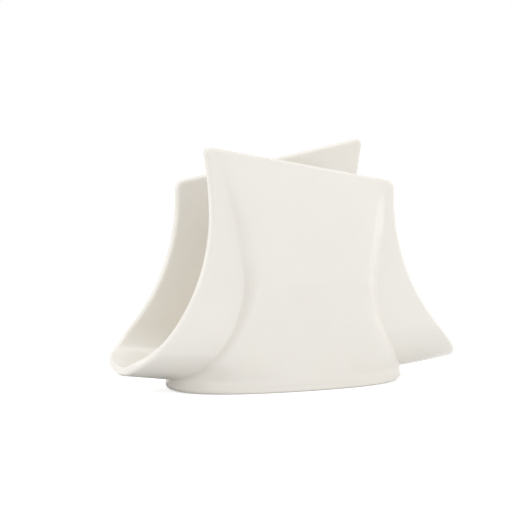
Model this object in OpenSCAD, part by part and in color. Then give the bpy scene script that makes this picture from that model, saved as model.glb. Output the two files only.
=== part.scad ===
// Porcelain napkin holder: a U-shaped channel that runs along X, held in an oval pedestal.
// The two walls lean together towards the top, their side edges sweep out into a lip at each end,
// and each top edge slopes: the front wall is tall on the left and the back wall on the right, so
// a half turn about Z leaves the whole shape as it is. Z = 0 is the table.

/* [Overall] */
// Height of a wall at its tall corner
tall_corner_h = 100.6; // [90:0.1:115]
// Height of a wall at its low corner
low_corner_h = 84.1; // [78:0.1:90]
// Length over the tips of the two lips
lip_span = 148.4; // [140:0.1:156]

/* [Side edges] */
// Length of a wall at its waist
waist_l = 82.8; // [78:0.1:90]
// Height of the waist above the table
waist_h = 75; // [70:0.5:80]
// Radius of the side edges below the waist
edge_r = 76; // [72:0.5:82]
// Radius of the side edges above the waist
edge_top_r = 130; // [90:1:200]
// Radius of the lip's tip, seen from the side
tip_r = 8; // [6:0.5:10]
// Radius of the two tall corners
tall_corner_r = 2.5; // [2.2:0.1:4]
// Radius of the two low corners
low_corner_r = 4; // [2.2:0.1:5]

/* [Channel] */
// Thickness of the walls and of the trough
wall_t = 3.8; // [3:0.1:4.4]
// Height of the channel's floor above the table
floor_h = 8.2; // [7:0.1:10]
// Height at which the flat walls meet the rounded trough
trough_h = 26; // [23:0.5:30]
// Width over both walls at the height of the tall corners
top_w = 36.4; // [30:0.2:42]
// Distance from the middle at which the lips begin to rise
lip_start = 48; // [45:0.5:49]
// Rise of the lips for each millimetre outwards
lip_rise_share = 0.126; // [0.05:0.001:0.2]

/* [Pedestal] */
// Length of the oval foot
foot_l = 103.4; // [101:0.1:108]
// Width of the oval foot
foot_w = 49; // [46:0.2:54]
// Squareness of the oval, where 2 is an ellipse
foot_power = 2.26; // [2:0.01:2.6]
// How far the belly swells out of the straight line from the foot to the top edge
belly_swell = 3.3; // [2:0.1:4.5]
// Squareness of the belly's shoulders, where the foot's own squareness gives none
shoulder_power = 12; // [6:0.5:14]
// Length of the belly at the waist of its creases
crease_l = 57.4; // [50:0.2:64]
// Thickness of the skirt under the belly
skirt_t = 4.5; // [3.5:0.1:6]

/* [Foot ring] */
// Height of the ring that stands on the table
foot_h = 3; // [2.8:0.1:3.4]
// Rounding of the ring's lower edges along its sides
foot_round = 1; // [0.6:0.1:1.6]
// Rounding of its outer edge at the ends, where the casting was fettled most
foot_end_round = 2.8; // [1.6:0.1:2.8]

/* [Hidden] */

// Colours of the glazed body and of the foot, where the glaze thins out
glaze = [0.93, 0.91, 0.88];
thin_glaze = [0.9, 0.87, 0.83];

// Points round half a rim, up a side edge, round a corner, round the trough and along the belly
rim_steps = 6;
side_steps = 18;
corner_steps = 4;
trough_steps = 36;
belly_steps = 24;
belly_rows = 9;
ring_steps = 3;
// Least height of a row of points on the belly
row_h = 0.6;
// Power of the distance from the middle with which the foot's rounding grows towards its ends
end_share = 6;
// Share of the belly's height over which its shoulders grow out of the foot's oval
shoulder_share = 0.4;
// Powers of the distance from their waist with which the creases spread downwards and upwards
crease_low_share = 2.7;
crease_top_share = 1.25;
// Rounds in which a place along an edge and its height settle on each other
settle_rounds = 8;
// Angle to each side over which the lip's rim takes its direction
look_a = 0.5;

half_turn = [0, 0, 180];
rim_r = wall_t / 2;
tip_x = lip_span / 2;
waist_x = waist_l / 2;
foot_x = foot_l / 2;
foot_y = foot_w / 2;
// Change of a wall's half width for each millimetre of height, and the same as an angle
lean = (foot_w - top_w) / 2 / tall_corner_h;
lean_a = atan(lean);
wall_out = [0, -1, 0];

// Side edges, as the path of the middle of their rounded rim: two arcs about one height and the tip
edge_x = waist_x + edge_r;
tip_z = waist_h - sqrt(pow(edge_r + tip_r, 2) - pow(edge_x - tip_x + tip_r, 2));
tip_join_h = waist_h - (edge_r + rim_r) * (waist_h - tip_z) / (edge_r + tip_r);

function arc_dx(r, dz) = sqrt(max(0, r * r - dz * dz));
function edge_mid(z) =
    z >= waist_h ? waist_x + edge_top_r - arc_dx(edge_top_r + rim_r, z - waist_h)
    : z >= tip_join_h ? edge_x - arc_dx(edge_r + rim_r, z - waist_h)
    : tip_x - tip_r + arc_dx(tip_r - rim_r, max(0, z - tip_z));
// The same for the rim's outermost line, above the waist
function edge_out(z) = waist_x + edge_top_r - arc_dx(edge_top_r, z - waist_h);

// Outer half width of the flat walls
function wall_y(z) = foot_y - lean * z;

// Underside of the channel along its middle line
function under_z(x) = floor_h - wall_t + lip_rise_share * max(0, abs(x) - lip_start);

// Trough: an elliptic arc that leaves the walls without a fold, at depth d under the outer skin.
// The angle a runs from -lean_a on the front to 180 + lean_a on the back.
function trough_a(i) = -lean_a + i * (180 + 2 * lean_a) / trough_steps;
function arc_y(d) = (wall_y(trough_h) - d) / cos(lean_a);
function arc_z(x, d) = (trough_h - under_z(x) - d) / (1 + sin(lean_a));
function trough_pt(x, a, d) =
    [x, -arc_y(d) * cos(a), trough_h - arc_z(x, d) * (sin(lean_a) + sin(a))];
// Direction from the inner skin to the outer one, level where the arc meets the walls
function trough_out(a) =
    [0, -cos(a) / cos(lean_a), -(sin(lean_a) + sin(a)) / (1 + sin(lean_a))];
// Outer half width of the whole channel at a place along its length and a height
function channel_y(x, z) =
    z >= trough_h ? wall_y(z)
    : z <= under_z(x) ? 0
    : arc_y(0) * cos(asin((trough_h - z) / arc_z(x, 0) - sin(lean_a)));

function unit(v) = v / norm(v);

// Top edge of the front wall, as the path of the middle of its rounded rim
top_slope = (low_corner_h - tall_corner_h) / (edge_out(low_corner_h) + edge_out(tall_corner_h));
function top_mid(x) =
    tall_corner_h + top_slope * (x + edge_out(tall_corner_h)) - rim_r * norm([1, top_slope]);
// Height at which that path meets the side edge, on the left (-1) or the right (1)
function corner_z(side, z, n) = n == 0 ? z : corner_z(side, top_mid(side * edge_mid(z)), n - 1);

// One half rim about the path's point p: m points out of the wall's edge and n out of its face
function half_rim(p, m, n) =
    [for (k = [0:rim_steps]) let (a = -90 + 180 * k / rim_steps) p + rim_r * (cos(a) * m + sin(a) * n)];

// Faces between two neighbouring rows of points, and the point numbers of a grid
function quad(a, b, c, d) = [[a, b, c], [a, c, d]];

// Front wall

// A point of the wall's middle plane and a direction in it, from their x and z
function wall_pt(x, z) = [x, rim_r - wall_y(z), z];
function wall_dir(v) = unit([v[0], 0, v[1]]);
function side_pts(side, z_end) = [
    for (i = [0:side_steps - 1])
        let (z = trough_h + (z_end - trough_h) * i / side_steps, r = z >= waist_h ? edge_top_r : edge_r,
             x = edge_mid(z))
            [side * x, z, side * (waist_x + r - x), waist_h - z]
];

// A rounded corner, from the side edge round to the top edge
function corner_pts(side, z, corner_r) =
    let (x = edge_mid(z),
         side_out = unit([side * (waist_x + edge_top_r - x), waist_h - z]),
         top_out = unit([-top_slope, 1]),
         down = side * [side_out[1], -side_out[0]],
         along = side * [-top_out[1], top_out[0]],
         r = corner_r - rim_r,
         middle = [side * x, z] + unit(down + along) * r / sin(acos(down * along) / 2),
         a0 = atan2(side_out[1], side_out[0]),
         turn = (atan2(top_out[1], top_out[0]) - a0 + 540) % 360 - 180)
        [for (i = [0:corner_steps])
            let (a = a0 + turn * i / corner_steps)
                [middle[0] + r * cos(a), middle[1] + r * sin(a), cos(a), sin(a)]];

function wall_chain() =
    let (zl = corner_z(-1, tall_corner_h, settle_rounds), zr = corner_z(1, low_corner_h, settle_rounds),
         left = corner_pts(-1, zl, tall_corner_r), right = corner_pts(1, zr, low_corner_r))
        concat(side_pts(-1, left[0][1]), left, reverse(right), reverse(side_pts(1, right[0][1])));

function reverse(l) = [for (i = [len(l) - 1:-1:0]) l[i]];

module wall_body() {
    chain = wall_chain();
    last = len(chain) - 1;
    row = rim_steps + 1;
    rims = [for (c = chain) each half_rim(wall_pt(c[0], c[1]), wall_dir([c[2], c[3]]), wall_out)];
    left_mid = len(rims);
    right_mid = left_mid + 1;
    points = concat(rims, [wall_pt(chain[0][0], chain[0][1]), wall_pt(chain[last][0], chain[last][1])]);
    rim = [for (i = [0:last - 1], k = [0:rim_steps - 1])
        each quad(i * row + k, i * row + k + 1, (i + 1) * row + k + 1, (i + 1) * row + k)];
    outer = [for (i = [0:(last - 1) / 2 - 1])
        each quad(i * row + rim_steps, (last - i) * row + rim_steps,
                  (last - i - 1) * row + rim_steps, (i + 1) * row + rim_steps)];
    inner = [for (i = [0:(last - 1) / 2 - 1])
        each quad(i * row, (i + 1) * row, (last - i - 1) * row, (last - i) * row)];
    left_cap = [for (k = [0:rim_steps - 1]) [left_mid, k + 1, k]];
    right_cap = [for (k = [0:rim_steps - 1]) [right_mid, last * row + k, last * row + k + 1]];
    bottom = concat(quad(left_mid, right_mid, last * row + rim_steps, rim_steps),
                    quad(left_mid, 0, last * row, right_mid));
    polyhedron(points, [for (f = concat(rim, outer, inner, left_cap, right_cap, bottom)) reverse(f)]);
}

// Trough and lips

module trough_body() {
    rings = [for (x = [-lip_start, lip_start], d = [0, wall_t])
        each [for (i = [0:trough_steps]) trough_pt(x, trough_a(i), d)]];
    row = trough_steps + 1;
    // Rows 0 and 1 are the outer and inner skins at the left end, 2 and 3 those at the right end
    skins = [for (i = [0:trough_steps - 1]) each concat(
        quad(i, 2 * row + i, 2 * row + i + 1, i + 1),
        quad(row + i, row + i + 1, 3 * row + i + 1, 3 * row + i),
        quad(i, i + 1, row + i + 1, row + i),
        quad(2 * row + i, 3 * row + i, 3 * row + i + 1, 2 * row + i + 1))];
    front_top = quad(0, row, 3 * row, 2 * row);
    back_top = quad(trough_steps, 2 * row + trough_steps, 3 * row + trough_steps, row + trough_steps);
    polyhedron(rings, concat(skins, front_top, back_top));
}

// The right lip's rim path at angle a: x follows the side edge at the height that the trough has there
function lip_x(a, x, n) = n == 0 ? x : lip_x(a, edge_mid(trough_pt(x, a, rim_r)[2]), n - 1);
function lip_path(a) = trough_pt(lip_x(a, tip_x, settle_rounds), a, rim_r);
function lip_rim(a) =
    let (p = lip_path(a), n = trough_out(a),
         along = unit(lip_path(a + look_a) - lip_path(a - look_a)))
        half_rim(p, unit(cross(along, n)) * sign(cross(along, n)[0]), n);

module lip_body() {
    row = rim_steps + 1;
    rims = [for (i = [0:trough_steps]) each lip_rim(trough_a(i))];
    outer0 = len(rims);
    inner0 = outer0 + trough_steps + 1;
    front_mid = inner0 + trough_steps + 1;
    back_mid = front_mid + 1;
    points = concat(rims,
        [for (i = [0:trough_steps]) trough_pt(lip_start, trough_a(i), 0)],
        [for (i = [0:trough_steps]) trough_pt(lip_start, trough_a(i), wall_t)],
        [lip_path(trough_a(0)), lip_path(trough_a(trough_steps))]);
    rim = [for (i = [0:trough_steps - 1], k = [0:rim_steps - 1])
        each quad(i * row + k, (i + 1) * row + k, (i + 1) * row + k + 1, i * row + k + 1)];
    skins = [for (i = [0:trough_steps - 1]) each concat(
        quad(i * row + rim_steps, (i + 1) * row + rim_steps, outer0 + i + 1, outer0 + i),
        quad(i * row, inner0 + i, inner0 + i + 1, (i + 1) * row),
        quad(outer0 + i, outer0 + i + 1, inner0 + i + 1, inner0 + i))];
    n = trough_steps;
    front = concat([for (k = [0:rim_steps - 1]) [front_mid, k, k + 1]],
        [[front_mid, rim_steps, outer0], [front_mid, outer0, inner0], [front_mid, inner0, 0]]);
    back = concat([for (k = [0:rim_steps - 1]) [back_mid, n * row + k + 1, n * row + k]],
        [[back_mid, outer0 + n, n * row + rim_steps], [back_mid, inner0 + n, outer0 + n],
         [back_mid, n * row, inner0 + n]]);
    polyhedron(points, concat(rim, skins, front, back));
}

// Belly and foot

// Lower end of the creases, where the lip's underside meets the end of the oval
crease_z = under_z(foot_x);
crease_x = crease_l / 2;
// Upper end of the creases, clear of the rounding of the low corners
crease_top_x = waist_x - low_corner_r;
belly_top_z = top_mid(0);

// Half length of the belly at a share t of its height
function belly_x(t) =
    t < 0.5 ? crease_x + (foot_x - crease_x) * pow(1 - 2 * t, crease_low_share)
    : crease_x + (crease_top_x - crease_x) * pow(2 * t - 1, crease_top_share);
// Share of the height for a level z below the flat walls
function level_t(z) = max(0, (z - crease_z) / (belly_top_z - crease_z));
// Half width of the oval with half axes a and b at x
function oval_y(x, a, b) = abs(x) >= a ? 0 : b * pow(1 - pow(abs(x) / a, foot_power), 1 / foot_power);
function skirt_y(x) = oval_y(x, foot_x - skirt_t, foot_y - skirt_t);
// Half width of the face behind the belly: the channel, and below it the skirt's inner side
function seat_y(x, z) = z >= trough_h ? wall_y(z) : max(channel_y(x, z), skirt_y(x));
// Squareness of the belly's outline at a share t of its height
function outline_power(t) =
    let (s = min(1, t / shoulder_share)) foot_power + (shoulder_power - foot_power) * s * s * (3 - 2 * s);

// Places across the belly, closer together towards its ends
function belly_u(j) = sin(-90 + 180 * j / belly_steps);

// One point of the belly's outer skin (out = 1) or of the face behind it (out = 0). At each level
// the outer skin is an oval or a squarer outline, cut off where it meets the channel in the crease.
function belly_pt(u, z, t, out) =
    let (x = u * belly_x(t),
         full = wall_y(z) + belly_swell * 4 * t * (1 - t),
         cut = 1 - pow(channel_y(belly_x(t), z) / full, foot_power))
        [x, out == 1 ? -full * pow(1 - cut * pow(abs(u), outline_power(t)), 1 / foot_power)
                     : -seat_y(x, z), z];

// Levels of the trough's own facets, from just above the creases' lower end up to the flat walls
belly_levels = [for (i = [trough_steps / 2:-1:0])
    let (z = trough_pt(0, trough_a(i), 0)[2]) if (z > crease_z + row_h) z];

module belly_body() {
    upper = [for (i = [1:belly_rows]) i / belly_rows];
    function belly_row(out) = concat(
        [for (z = concat([foot_h, crease_z], belly_levels), j = [0:belly_steps])
            belly_pt(belly_u(j), z, level_t(z), out)],
        [for (s = upper, j = [0:belly_steps])
            let (t = level_t(trough_h) + s * (1 - level_t(trough_h)), x = belly_u(j) * belly_x(t))
                belly_pt(belly_u(j), trough_h + s * (top_mid(x) - trough_h), t, out)]);
    skin = belly_row(1);
    seat = belly_row(0);
    row = belly_steps + 1;
    rows = len(skin) / row;
    s0 = len(skin);
    // The two skins share their top and end points, so the belly closes on the channel in an edge
    function outer_i(i, j) = i * row + j;
    function seat_i(i, j) = i == rows - 1 || j == 0 || j == belly_steps ? outer_i(i, j) : s0 + outer_i(i, j);
    skins = [for (i = [0:rows - 2], j = [0:belly_steps - 1]) each j < belly_steps / 2
        ? concat(quad(outer_i(i + 1, j), outer_i(i + 1, j + 1), outer_i(i, j + 1), outer_i(i, j)),
                 quad(seat_i(i, j + 1), seat_i(i + 1, j + 1), seat_i(i + 1, j), seat_i(i, j)))
        : concat(quad(outer_i(i, j), outer_i(i + 1, j), outer_i(i + 1, j + 1), outer_i(i, j + 1)),
                 quad(seat_i(i, j), seat_i(i, j + 1), seat_i(i + 1, j + 1), seat_i(i + 1, j)))];
    bottom = [for (j = [0:belly_steps - 1])
        each quad(outer_i(0, j), outer_i(0, j + 1), seat_i(0, j + 1), seat_i(0, j))];
    faces = [for (f = concat(skins, bottom)) if (f[0] != f[1] && f[1] != f[2] && f[2] != f[0]) f];
    polyhedron(concat(skin, seat), faces);
}

module ring_body() {
    // Section of the ring, as angles round its outer and inner edges from the bottom up
    angles = [for (i = [0:ring_steps]) 90 * i / ring_steps];
    turns = [for (j = [0:belly_steps * 2 - 1]) 180 * j / belly_steps - 90];
    function edge_round(u) = foot_round + (foot_end_round - foot_round) * pow(abs(u), end_share);
    function ring_pt(a, inset, z) =
        let (x = foot_x - inset, y = wall_y(foot_h) - inset)
            [sin(a) * x, -sign(cos(a)) * oval_y(sin(a) * x, x, y), z];
    function section(a) =
        let (r = edge_round(sin(a)))
            concat([for (b = angles) ring_pt(a, r * (1 - sin(b)), r * (1 - cos(b)))],
                   [ring_pt(a, 0, foot_h), ring_pt(a, skirt_t, foot_h)],
                   [for (b = reverse(angles))
                       ring_pt(a, skirt_t - foot_round * (1 - sin(b)), foot_round * (1 - cos(b)))]);
    points = [for (a = turns) each section(a)];
    rounds = len(turns);
    count = len(points) / rounds;
    faces = [for (j = [0:rounds - 1], k = [0:count - 1])
        let (j1 = (j + 1) % rounds, k1 = (k + 1) % count)
            each quad(j * count + k, j * count + k1, j1 * count + k1, j1 * count + k)];
    polyhedron(points, faces);
}

module front_wall() { color(glaze) wall_body(); }
module back_wall() { color(glaze) rotate(half_turn) wall_body(); }
module trough() { color(glaze) trough_body(); }
module right_lip() { color(glaze) lip_body(); }
module left_lip() { color(glaze) rotate(half_turn) lip_body(); }
module front_belly() { color(glaze) belly_body(); }
module back_belly() { color(glaze) rotate(half_turn) belly_body(); }
module foot_ring() { color(thin_glaze) ring_body(); }

front_wall();
back_wall();
trough();
left_lip();
right_lip();
front_belly();
back_belly();
foot_ring();
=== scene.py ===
"""Ivory porcelain napkin holder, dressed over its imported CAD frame.

The real holder is one slip-cast, glazed casting. Each piece here stands for one CAD node and follows
its curves at a much finer pitch, with the softened creases and rims of the real casting. The belly
departs from its nodes by up to 3 mm, because its creases follow the photograph more closely.
Neighbouring pieces share their edges and the direction of their surface there, so no joint shows.
Shapes are worked out in millimetres and laid down in metres, in the frame's own coordinates.
"""

import logging
import math
from dataclasses import dataclass
from enum import Enum

import bpy
import numpy as np
from mathutils import Matrix, Vector


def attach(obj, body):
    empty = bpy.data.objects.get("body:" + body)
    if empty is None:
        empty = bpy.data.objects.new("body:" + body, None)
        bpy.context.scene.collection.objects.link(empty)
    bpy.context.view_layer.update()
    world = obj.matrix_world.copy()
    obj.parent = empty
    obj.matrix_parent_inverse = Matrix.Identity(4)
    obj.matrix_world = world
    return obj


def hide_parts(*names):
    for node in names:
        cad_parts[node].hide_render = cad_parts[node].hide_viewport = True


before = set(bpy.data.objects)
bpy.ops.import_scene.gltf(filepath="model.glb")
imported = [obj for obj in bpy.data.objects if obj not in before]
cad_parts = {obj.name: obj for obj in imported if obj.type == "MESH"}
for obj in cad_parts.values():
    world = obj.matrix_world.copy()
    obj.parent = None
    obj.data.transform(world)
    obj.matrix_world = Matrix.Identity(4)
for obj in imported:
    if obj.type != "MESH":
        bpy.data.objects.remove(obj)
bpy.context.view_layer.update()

LOG = logging.getLogger("napkin_holder")
MM = 0.001
BODY = "root"
# Middle of the holder in metres, which the lamps face and the camera's place is measured from
HOLDER_MIDDLE = (0.0, 0.0, 0.05)
# A point counts as lying on an edge of its sheet within this share of the sheet
ON_EDGE = 1e-5
# Points closer together than this many metres become one
WELD_GAP = 2e-6
# Points within this many metres of the plane y = 0 lie on it
NEAR_MIDDLE = 1e-8
# Least length that a direction is divided by
LEAST_LENGTH = 1e-12
# A noted direction counts while it is longer than this, because welding mixes it with empty ones
LEAST_NOTED = 0.5
# A direction holds on a face where its cosine to the face's own is at least this
LEAST_COSINE = 0.2


class Slot(Enum):
    """The record's material slots."""

    GLAZE = "glaze"
    FOOT = "foot"


class Note(Enum):
    """What is kept on a mesh: an attribute's name, its type and what carries it."""

    FACING = ("facing", "FLOAT_VECTOR", "POINT")
    HIDDEN = ("hidden", "INT", "FACE")
    # How much painted shade darkens the glaze along the creases, from 0 to 1
    POOL = ("crease_shade", "FLOAT", "POINT")


def unit(v: np.ndarray) -> np.ndarray:
    """Directions of length 1 along v."""
    return v / np.maximum(np.linalg.norm(v, axis=-1, keepdims=True), LEAST_LENGTH)


def stack(x: np.ndarray, y: np.ndarray, z: np.ndarray) -> np.ndarray:
    """Points or directions from their three coordinates, which may be plain numbers."""
    return np.stack(np.broadcast_arrays(x, y, z), -1).astype(float)


def arc(radius: float, along: np.ndarray) -> np.ndarray:
    """Height of a circle of this radius over its chord, at a distance along from its middle."""
    return np.sqrt(np.maximum(0.0, radius**2 - along**2))


def ease(low: float, high: float, v: np.ndarray) -> np.ndarray:
    """0 below low, 1 above high and a smooth rise between them."""
    s = np.clip((v - low) / (high - low), 0.0, 1.0)
    return s * s * (3.0 - 2.0 * s)


def soft_ramp(s: np.ndarray, reach: float) -> np.ndarray:
    """max(0, s), with its corner rounded over a distance reach to each side."""
    return np.where(s >= reach, s, np.where(s <= -reach, 0.0, (s + reach) ** 2 / (4.0 * reach)))


@dataclass(frozen=True)
class Casting:
    """Sizes in millimetres and curves that every piece of the casting shares."""

    # Heights of the front wall's corners, length over the lips' tips, and the wall's waist
    tall_corner_h: float = 100.6
    low_corner_h: float = 84.1
    lip_span: float = 148.4
    waist_l: float = 82.8
    waist_h: float = 75.0
    # Radii of the side edges below and above the waist, and of the lips' tips
    edge_r: float = 76.0
    edge_top_r: float = 130.0
    tip_r: float = 8.0
    wall_t: float = 3.8
    floor_h: float = 8.2
    trough_h: float = 26.0
    top_w: float = 36.4
    # Where the lips begin to rise, how steeply they do and over what distance they start
    lip_start: float = 48.0
    lip_rise_share: float = 0.126
    lip_soft: float = 9.0
    foot_l: float = 103.4
    foot_w: float = 49.0
    # Squareness of the rim's section, which is a half circle at 2
    rim_power: float = 2.3
    # Degrees over which the walls' own direction turns into the trough's
    blend_a: float = 14.0
    # Millimetres and radians over which slopes are taken
    slope_step: float = 0.01
    angle_step: float = 1e-4
    settle_rounds: int = 40

    @property
    def rim_r(self) -> float:
        """Half the wall's thickness, which is the rim's radius."""
        return self.wall_t / 2

    @property
    def waist_x(self) -> float:
        """Half the wall's length at its waist."""
        return self.waist_l / 2

    @property
    def tip_x(self) -> float:
        """Distance of the lips' tips from the middle."""
        return self.lip_span / 2

    @property
    def foot_x(self) -> float:
        """Half the foot's length."""
        return self.foot_l / 2

    @property
    def lean(self) -> float:
        """Change of a wall's half width for each millimetre of height."""
        return (self.foot_w - self.top_w) / 2 / self.tall_corner_h

    @property
    def lean_a(self) -> float:
        """The lean as an angle in radians."""
        return math.atan(self.lean)

    @property
    def edge_x(self) -> float:
        """Distance of the centre of the lower side edge's arc from the middle."""
        return self.waist_x + self.edge_r

    @property
    def tip_z(self) -> float:
        """Height of the centre of the lip's tip arc."""
        apart = self.edge_x - self.tip_x + self.tip_r
        return self.waist_h - math.sqrt((self.edge_r + self.tip_r) ** 2 - apart**2)

    @property
    def tip_join_h(self) -> float:
        """Height at which the tip's arc takes over from the side edge."""
        share = (self.edge_r + self.rim_r) / (self.edge_r + self.tip_r)
        return self.waist_h - share * (self.waist_h - self.tip_z)

    def edge_mid(self, z: np.ndarray) -> np.ndarray:
        """Centre line of the side rims: an arc above the waist, a sweep below it and the tip's arc.

        Args:
            z: heights.

        Returns:
            Distance from the middle to the line at each height.
        """
        rise = z - self.waist_h
        upper = self.waist_x + self.edge_top_r - arc(self.edge_top_r + self.rim_r, rise)
        sweep = self.edge_x - arc(self.edge_r + self.rim_r, rise)
        tip = self.tip_x - self.tip_r + arc(self.tip_r - self.rim_r, np.maximum(0.0, z - self.tip_z))
        return np.where(rise >= 0, upper, np.where(z >= self.tip_join_h, sweep, tip))

    def edge_out(self, z: float) -> float:
        """Distance from the middle to the outermost line of the side rims, above the waist."""
        return self.waist_x + self.edge_top_r - float(arc(self.edge_top_r, z - self.waist_h))

    @property
    def top_slope(self) -> float:
        """Slope of the front wall's top edge, falling towards the right."""
        run = self.edge_out(self.low_corner_h) + self.edge_out(self.tall_corner_h)
        return (self.low_corner_h - self.tall_corner_h) / run

    def top_mid(self, x: np.ndarray) -> np.ndarray:
        """Height of the centre line of the front wall's top rim."""
        over = x + self.edge_out(self.tall_corner_h)
        return self.tall_corner_h + self.top_slope * over - self.rim_r * math.hypot(1, self.top_slope)

    def wall_y(self, z: np.ndarray) -> np.ndarray:
        """Outer half width of the flat walls."""
        return self.foot_w / 2 - self.lean * z

    def underside_z(self, x: np.ndarray) -> np.ndarray:
        """Height of the channel's underside along its middle line."""
        rise = soft_ramp(np.abs(x) - self.lip_start, self.lip_soft)
        return self.floor_h - self.wall_t + self.lip_rise_share * rise

    def arc_y(self, depth: np.ndarray) -> np.ndarray:
        """Half width of the trough's ellipse, at a depth under the outer skin."""
        return (self.wall_y(self.trough_h) - depth) / math.cos(self.lean_a)

    def arc_z(self, x: np.ndarray, depth: np.ndarray) -> np.ndarray:
        """Half height of the trough's ellipse, at a depth under the outer skin."""
        return (self.trough_h - self.underside_z(x) - depth) / (1 + math.sin(self.lean_a))

    def trough_pt(self, x: np.ndarray, a: np.ndarray, depth: np.ndarray) -> np.ndarray:
        """Point of the trough at angle a, from -lean_a on the front over 90 degrees below."""
        drop = self.arc_z(x, depth) * (math.sin(self.lean_a) + np.sin(a))
        return stack(x, -self.arc_y(depth) * np.cos(a), self.trough_h - drop)

    def trough_out(self, a: np.ndarray) -> np.ndarray:
        """Direction from the trough's inner skin to its outer one, a millimetre of depth long."""
        down = (math.sin(self.lean_a) + np.sin(a)) / (1 + math.sin(self.lean_a))
        return stack(0.0, -np.cos(a) / math.cos(self.lean_a), -down)

    def trough_normal(self, x: np.ndarray, a: np.ndarray, depth: np.ndarray) -> np.ndarray:
        """Outward direction square to the trough's skin, which turns into the walls' own at its edges.

        Args:
            x: places along the channel.
            a: angles of the trough.
            depth: depths under the outer skin.

        Returns:
            The direction at each point.
        """
        turn, step = self.angle_step, self.slope_step
        across = self.trough_pt(x, a + turn, depth) - self.trough_pt(x, a - turn, depth)
        along = self.trough_pt(x + step, a, depth) - self.trough_pt(x - step, a, depth)
        skin = unit(np.cross(along, across))
        skin *= np.sign(np.sum(skin * self.trough_out(a), -1, keepdims=True))
        front = np.cos(a) >= 0
        wall = np.where(front[..., None], self.wall_normal(-1.0), self.wall_normal(1.0))
        past = np.where(front, a + self.lean_a, math.pi + self.lean_a - a)
        share = ease(0.0, math.radians(self.blend_a), past)[..., None]
        return unit(wall * (1 - share) + skin * share)

    def wall_normal(self, side: float) -> np.ndarray:
        """Outward direction square to the front (-1) or back (1) wall's outer face."""
        return unit(np.array([0.0, side, self.lean]))

    def channel_y(self, x: np.ndarray, z: np.ndarray) -> np.ndarray:
        """Outer half width of the whole channel.

        Args:
            x: places along the channel.
            z: heights.

        Returns:
            The half widths, 0 under the channel.
        """
        lower = self.arc_y(0.0) * np.cos(self.trough_angle(x, z))
        lower = np.where(z <= self.underside_z(x), 0.0, lower)
        return np.where(z >= self.trough_h, self.wall_y(z), lower)

    def trough_angle(self, x: np.ndarray, z: np.ndarray) -> np.ndarray:
        """Angle at which the front half of the trough's outer skin has the height z."""
        turn = (self.trough_h - z) / self.arc_z(x, 0.0) - math.sin(self.lean_a)
        return np.arcsin(np.clip(turn, -1.0, 1.0))

    def channel_normal(self, p: np.ndarray) -> np.ndarray:
        """Outward direction of the channel's outer skin.

        Args:
            p: points of its front half.

        Returns:
            The direction at each point.
        """
        a = self.trough_angle(p[..., 0], p[..., 2])
        lower = self.trough_normal(p[..., 0], a, np.zeros_like(a))
        return np.where((p[..., 2] >= self.trough_h)[..., None], self.wall_normal(-1.0), lower)

    def rim_section(self, w: np.ndarray) -> tuple[np.ndarray, np.ndarray]:
        """Half rim, a little squarer than a half circle.

        Args:
            w: share of the way from the outer skin (0) to the inner one (1).

        Returns:
            How far the rim stands out of the edge and towards the outer face, in rim radii.
        """
        a = math.pi / 2 - math.pi * w
        power = 2.0 / self.rim_power
        return np.abs(np.cos(a)) ** power, np.sign(np.sin(a)) * np.abs(np.sin(a)) ** power


CASTING = Casting()


def select_only(obj: bpy.types.Object) -> None:
    """Makes an object the active one and the only one selected.

    Args:
        obj: the object.
    """
    bpy.ops.object.select_all(action="DESELECT")
    obj.select_set(True)
    bpy.context.view_layer.objects.active = obj


def corners(obj: bpy.types.Object) -> np.ndarray:
    """Places of a mesh's vertices.

    Args:
        obj: the mesh object.

    Returns:
        Their coordinates in metres, one row each.
    """
    co = np.zeros(len(obj.data.vertices) * 3)
    obj.data.vertices.foreach_get("co", co)
    return co.reshape(-1, 3)


def lay(obj: bpy.types.Object, points: np.ndarray) -> None:
    """Moves a mesh's vertices to points given in millimetres."""
    obj.data.vertices.foreach_set("co", (points * MM).astype(np.float32).ravel())
    obj.data.update()


def note(obj: bpy.types.Object, what: Note, values: np.ndarray) -> None:
    """Keeps values on a mesh's points or faces, while it is worked on or for its finish.

    Args:
        obj: the mesh object.
        what: what the values say.
        values: a value or direction for each point or face.
    """
    name, kind, domain = what.value
    layer = obj.data.attributes.get(name) or obj.data.attributes.new(name, kind, domain)
    key = "vector" if kind == "FLOAT_VECTOR" else "value"
    layer.data.foreach_set(key, values.astype(np.int32 if kind == "INT" else np.float32).ravel())


def noted(obj: bpy.types.Object, what: Note) -> np.ndarray:
    """Values that note kept.

    Args:
        obj: the mesh object.
        what: which values, FACING or HIDDEN.

    Returns:
        A direction for each point, or a whole number for each face.
    """
    name, kind, _ = what.value
    layer = obj.data.attributes[name]
    if kind == "FLOAT_VECTOR":
        out = np.zeros(len(layer.data) * 3, np.float32)
        layer.data.foreach_get("vector", out)
        return out.reshape(-1, 3).astype(float)
    out = np.zeros(len(layer.data), np.int32)
    layer.data.foreach_get("value", out)
    return out


def add_sheet(name: str, columns: int, rows: int) -> bpy.types.Object:
    """Adds a flat grid, one unit to each side.

    Args:
        name: name of the object and its mesh.
        columns: faces along X.
        rows: faces along Y.

    Returns:
        The grid, with its corners at 0 and 1.
    """
    bpy.ops.object.select_all(action="DESELECT")
    bpy.ops.mesh.primitive_grid_add(x_subdivisions=columns, y_subdivisions=rows, size=1.0)
    obj = bpy.context.active_object
    obj.name = obj.data.name = name
    bpy.ops.object.mode_set(mode="EDIT")
    bpy.ops.mesh.select_all(action="SELECT")
    bpy.ops.transform.translate(value=(0.5, 0.5, 0.0))
    bpy.ops.object.mode_set(mode="OBJECT")
    return obj


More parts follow.
